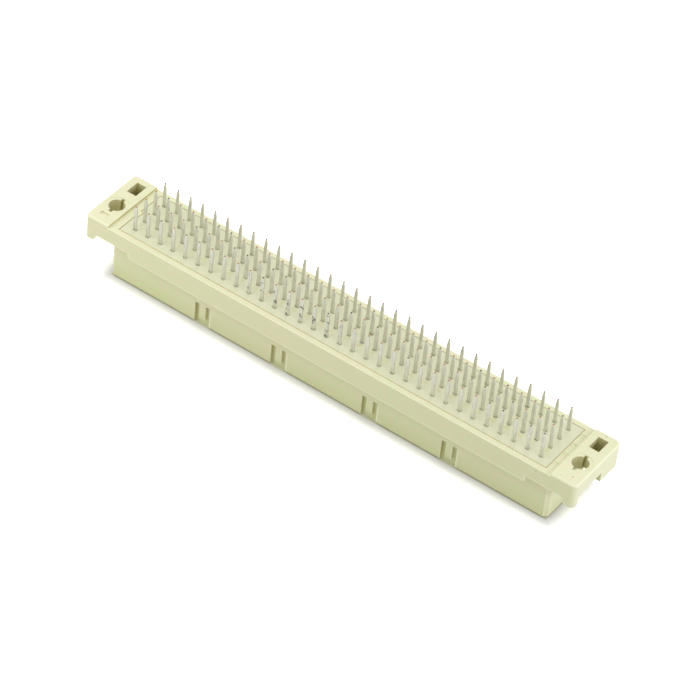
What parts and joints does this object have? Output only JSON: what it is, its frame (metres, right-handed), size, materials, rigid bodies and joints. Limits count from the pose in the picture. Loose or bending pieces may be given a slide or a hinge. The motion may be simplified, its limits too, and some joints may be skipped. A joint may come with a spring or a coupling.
{
  "type": "backplane connector",
  "caption": "Straight female backplane connector: flanged ivory body with a grid of contact cavities, ears with fixing holes, and rows of tinned solder tails on the board side.",
  "frame": {"origin": "middle of the mating face, which is the object's lowest plane", "axes": "+X along the rows of contacts, with the housing's key at the -X end; +Z out of the board side, the way the solder tails point; -Y is the side whose ears hold the round screw holes"},
  "size_m": [0.095, 0.013, 0.0155],
  "materials": {
    "housing_plastic": "ivory glass-filled polyester, moulded, satin",
    "plate_plastic": "the same polyester a shade paler, moulded, matt",
    "contact_tin": "tin-plated bronze strip, satin"
  },
  "bodies": {
    "root": {"housing": "housing_plastic", "locating_plate": "plate_plastic", "contact_a01": "contact_tin", "contact_a02": "contact_tin", "contact_a03": "contact_tin", "contact_a04": "contact_tin", "contact_a05": "contact_tin", "contact_a06": "contact_tin", "contact_a07": "contact_tin", "contact_a08": "contact_tin", "contact_a09": "contact_tin", "contact_a10": "contact_tin", "contact_a11": "contact_tin", "contact_a12": "contact_tin", "contact_a13": "contact_tin", "contact_a14": "contact_tin", "contact_a15": "contact_tin", "contact_a16": "contact_tin", "contact_a17": "contact_tin", "contact_a18": "contact_tin", "contact_a19": "contact_tin", "contact_a20": "contact_tin", "contact_a21": "contact_tin", "contact_a22": "contact_tin", "contact_a23": "contact_tin", "contact_a24": "contact_tin", "contact_a25": "contact_tin", "contact_a26": "contact_tin", "contact_a27": "contact_tin", "contact_a28": "contact_tin", "contact_a29": "contact_tin", "contact_a30": "contact_tin", "contact_a31": "contact_tin", "contact_a32": "contact_tin"}
  },
  "joints": []
}
